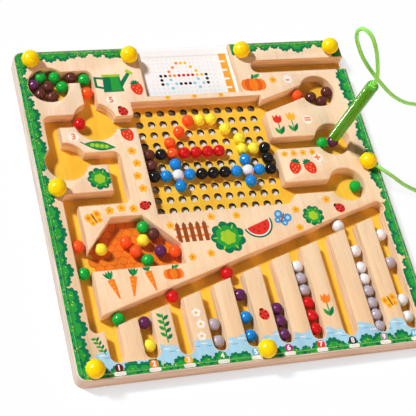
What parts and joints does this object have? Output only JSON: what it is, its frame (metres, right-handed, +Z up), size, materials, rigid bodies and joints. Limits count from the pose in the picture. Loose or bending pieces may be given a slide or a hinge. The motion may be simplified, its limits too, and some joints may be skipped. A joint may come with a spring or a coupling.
{
  "type": "magnetic ball maze",
  "caption": "Square wooden ball maze under a clear cover, with channels, pockets, sorting columns, a field of ball pits, a slide-in card and a magnet pen on a cord.",
  "frame": {"origin": "middle of the board's underside", "axes": "+Z up through the cover, +Y towards the back edge with the card slot, +X towards the side that the cord hangs from"},
  "size_m": [0.3831, 0.3, 0.1526],
  "materials": {
    "base_wood": "warm amber stain",
    "panel_wood": "pale plywood with a printed face",
    "clear_plastic": "clear acrylic",
    "card": "printed card",
    "pen_green": "gloss",
    "magnet": "plated",
    "plug_green": "gloss",
    "cord_green": "soft gloss",
    "yellow_lacquer": "gloss lacquer",
    "ball_green": "gloss paint",
    "ball_purple": "gloss paint",
    "ball_orange": "gloss paint",
    "ball_red": "gloss paint",
    "ball_yellow": "gloss paint",
    "ball_blue": "gloss paint",
    "ball_white": "gloss paint",
    "ball_grey": "gloss paint"
  },
  "bodies": {
    "board": {"base_board": "base_wood", "maze_panel": "panel_wood", "clear_cover": "clear_plastic", "knob_back_left": "yellow_lacquer", "knob_back_inner_left": "yellow_lacquer", "knob_back_inner_right": "yellow_lacquer", "knob_back_right": "yellow_lacquer", "knob_middle_left": "yellow_lacquer", "knob_cord": "yellow_lacquer", "knob_front_left": "yellow_lacquer", "knob_front_middle": "yellow_lacquer", "knob_front_right": "yellow_lacquer", "cord": "cord_green"},
    "card": {"pattern_card": "card"},
    "pen": {"pen_barrel": "pen_green", "pen_magnet": "magnet", "pen_plug": "plug_green"},
    "ball_under_pen": {"ball_under_pen": "ball_purple"},
    "ball_led": {"ball_led": "ball_green"},
    "ball_second_pocket": {"ball_second_pocket": "ball_red"},
    "ball_drop_lane": {"ball_drop_lane": "ball_orange"},
    "ball_left_lane_1": {"ball_left_lane_1": "ball_orange"},
    "ball_left_lane_2": {"ball_left_lane_2": "ball_green"},
    "ball_upper_right": {"ball_upper_right": "ball_orange"},
    "ball_lower_right": {"ball_lower_right": "ball_green"},
    "ball_diagonal_1": {"ball_diagonal_1": "ball_green"},
    "ball_diagonal_2": {"ball_diagonal_2": "ball_red"},
    "ball_diagonal_3": {"ball_diagonal_3": "ball_red"},
    "ball_diagonal_4": {"ball_diagonal_4": "ball_white"},
    "ball_column_2_1": {"ball_column_2_1": "ball_yellow"},
    "ball_column_2_2": {"ball_column_2_2": "ball_purple"},
    "ball_column_4_1": {"ball_column_4_1": "ball_grey"},
    "ball_column_4_2": {"ball_column_4_2": "ball_grey"},
    "ball_column_5_1": {"ball_column_5_1": "ball_blue"},
    "ball_column_5_2": {"ball_column_5_2": "ball_blue"},
    "ball_column_5_3": {"ball_column_5_3": "ball_purple"},
    "balls_column_6": {"ball_column_6_1": "ball_purple", "ball_column_6_2": "ball_purple", "ball_column_6_3": "ball_purple"},
    "balls_column_7": {"ball_column_7_1": "ball_red", "ball_column_7_2": "ball_red", "ball_column_7_3": "ball_red", "ball_column_7_4": "ball_grey", "ball_column_7_5": "ball_grey", "ball_column_7_6": "ball_white"},
    "balls_column_9": {"ball_column_9_1": "ball_grey", "ball_column_9_2": "ball_grey", "ball_column_9_3": "ball_grey", "ball_column_9_4": "ball_grey", "ball_column_9_5": "ball_white", "ball_column_9_6": "ball_white"},
    "ball_column_9_7": {"ball_column_9_7": "ball_white"},
    "ball_column_10_1": {"ball_column_10_1": "ball_white"},
    "ball_column_10_2": {"ball_column_10_2": "ball_white"},
    "ball_column_10_3": {"ball_column_10_3": "ball_grey"},
    "ball_column_10_4": {"ball_column_10_4": "ball_white"}
  },
  "joints": [
    {"name": "card_slide", "type": "slide", "parent": "board", "child": "card", "axis": [0, 1, 0], "range_m": [0, 0.052]},
    {"name": "pen_slide", "type": "slide", "parent": "board", "child": "pen", "axis": [-0.9988, -0.0499, 0], "range_m": [0, 0.042], "deforming": ["cord"]},
    {"name": "ball_under_pen_slide", "type": "slide", "parent": "board", "child": "ball_under_pen", "axis": [-0.9988, -0.0499, 0], "range_m": [0, 0.042]},
    {"name": "ball_led_slide", "type": "slide", "parent": "board", "child": "ball_led", "axis": [-1, 0, 0], "range_m": [0, 0.042]},
    {"name": "ball_second_pocket_slide", "type": "slide", "parent": "board", "child": "ball_second_pocket", "axis": [-1, 0, 0], "range_m": [0, 0.0245]},
    {"name": "ball_drop_lane_slide", "type": "slide", "parent": "board", "child": "ball_drop_lane", "axis": [0, -1, 0], "range_m": [0, 0.045]},
    {"name": "ball_left_lane_1_slide", "type": "slide", "parent": "board", "child": "ball_left_lane_1", "axis": [0, 1, 0], "range_m": [0, 0.038]},
    {"name": "ball_left_lane_2_slide", "type": "slide", "parent": "board", "child": "ball_left_lane_2", "axis": [0, -1, 0], "range_m": [0, 0.0455]},
    {"name": "ball_upper_right_slide", "type": "slide", "parent": "board", "child": "ball_upper_right", "axis": [-0.9466, -0.3223, 0], "range_m": [0, 0.036]},
    {"name": "ball_lower_right_slide", "type": "slide", "parent": "board", "child": "ball_lower_right", "axis": [-1, 0, 0], "range_m": [0, 0.058]},
    {"name": "ball_diagonal_1_slide", "type": "slide", "parent": "board", "child": "ball_diagonal_1", "axis": [0.9557, 0.2943, 0], "range_m": [0, 0.0385]},
    {"name": "ball_diagonal_2_slide", "type": "slide", "parent": "board", "child": "ball_diagonal_2", "axis": [0.9557, 0.2943, 0], "range_m": [0, 0.041]},
    {"name": "ball_diagonal_3_slide", "type": "slide", "parent": "board", "child": "ball_diagonal_3", "axis": [0.9557, 0.2943, 0], "range_m": [0, 0.102]},
    {"name": "ball_diagonal_4_slide", "type": "slide", "parent": "board", "child": "ball_diagonal_4", "axis": [0.9557, 0.2943, 0], "range_m": [0, 0.0395]},
    {"name": "ball_column_2_1_slide", "type": "slide", "parent": "board", "child": "ball_column_2_1", "axis": [0, -1, 0], "range_m": [0, 0.0071]},
    {"name": "ball_column_2_2_slide", "type": "slide", "parent": "board", "child": "ball_column_2_2", "axis": [0, -1, 0], "range_m": [0, 0.009]},
    {"name": "ball_column_4_1_slide", "type": "slide", "parent": "board", "child": "ball_column_4_1", "axis": [0, -1, 0], "range_m": [0, 0.0041]},
    {"name": "ball_column_4_2_slide", "type": "slide", "parent": "board", "child": "ball_column_4_2", "axis": [0, 1, 0], "range_m": [0, 0.024]},
    {"name": "ball_column_5_1_slide", "type": "slide", "parent": "board", "child": "ball_column_5_1", "axis": [0, -1, 0], "range_m": [0, 0.0057]},
    {"name": "ball_column_5_2_slide", "type": "slide", "parent": "board", "child": "ball_column_5_2", "axis": [0, -1, 0], "range_m": [0, 0.0056]},
    {"name": "ball_column_5_3_slide", "type": "slide", "parent": "board", "child": "ball_column_5_3", "axis": [0, -1, 0], "range_m": [0, 0.0094]},
    {"name": "balls_column_6_slide", "type": "slide", "parent": "board", "child": "balls_column_6", "axis": [0, 1, 0], "range_m": [0, 0.03]},
    {"name": "balls_column_7_slide", "type": "slide", "parent": "board", "child": "balls_column_7", "axis": [0, 1, 0], "range_m": [0, 0.0075]},
    {"name": "balls_column_9_slide", "type": "slide", "parent": "board", "child": "balls_column_9", "axis": [0, 1, 0], "range_m": [0, 0.005]},
    {"name": "ball_column_9_7_slide", "type": "slide", "parent": "board", "child": "ball_column_9_7", "axis": [0, 1, 0], "range_m": [0, 0.014]},
    {"name": "ball_column_10_1_slide", "type": "slide", "parent": "board", "child": "ball_column_10_1", "axis": [0, -1, 0], "range_m": [0, 0.0067]},
    {"name": "ball_column_10_2_slide", "type": "slide", "parent": "board", "child": "ball_column_10_2", "axis": [0, 1, 0], "range_m": [0, 0.0242]},
    {"name": "ball_column_10_3_slide", "type": "slide", "parent": "board", "child": "ball_column_10_3", "axis": [0, 1, 0], "range_m": [0, 0.0159]},
    {"name": "ball_column_10_4_slide", "type": "slide", "parent": "board", "child": "ball_column_10_4", "axis": [0, 1, 0], "range_m": [0, 0.011]}
  ],
  "couplings": [
    {"joint": "ball_under_pen_slide", "follows": "pen_slide", "ratio": 1},
    {"joint": "ball_led_slide", "follows": "pen_slide", "ratio": 1}
  ]
}
